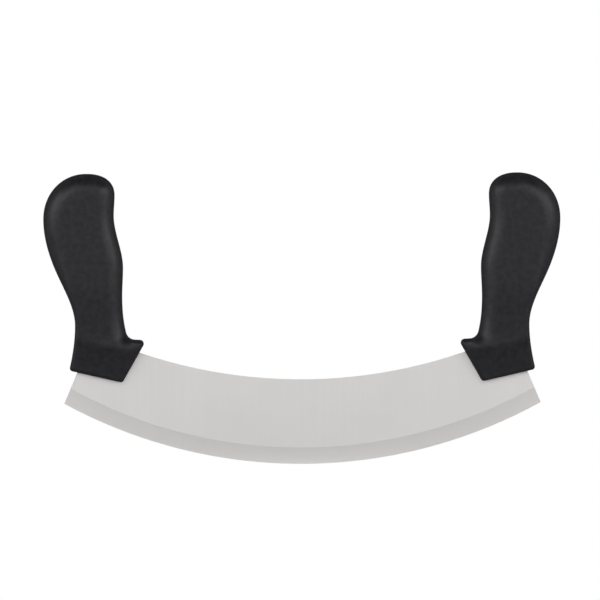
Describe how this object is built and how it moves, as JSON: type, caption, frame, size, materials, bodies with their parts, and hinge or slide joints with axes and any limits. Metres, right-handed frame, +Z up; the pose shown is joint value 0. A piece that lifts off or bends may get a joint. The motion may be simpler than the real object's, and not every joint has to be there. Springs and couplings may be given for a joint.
{
  "type": "mezzaluna",
  "caption": "Two-handled mezzaluna: a curved satin steel chopping blade with a black moulded grip standing up at each end.",
  "frame": {"origin": "lowest point of the cutting edge, at the middle of the blade, in the plane of the sheet", "axes": "+X along the blade to the right handle, +Z up from the edge to the handles, +Y away from the side that the picture shows"},
  "size_m": [0.2836, 0.025, 0.1595],
  "materials": {
    "steel": "satin, ground along the edge",
    "black_moulding": "fine matte"
  },
  "bodies": {
    "root": {"blade": "steel", "left_handle": "black_moulding", "right_handle": "black_moulding"}
  },
  "joints": []
}
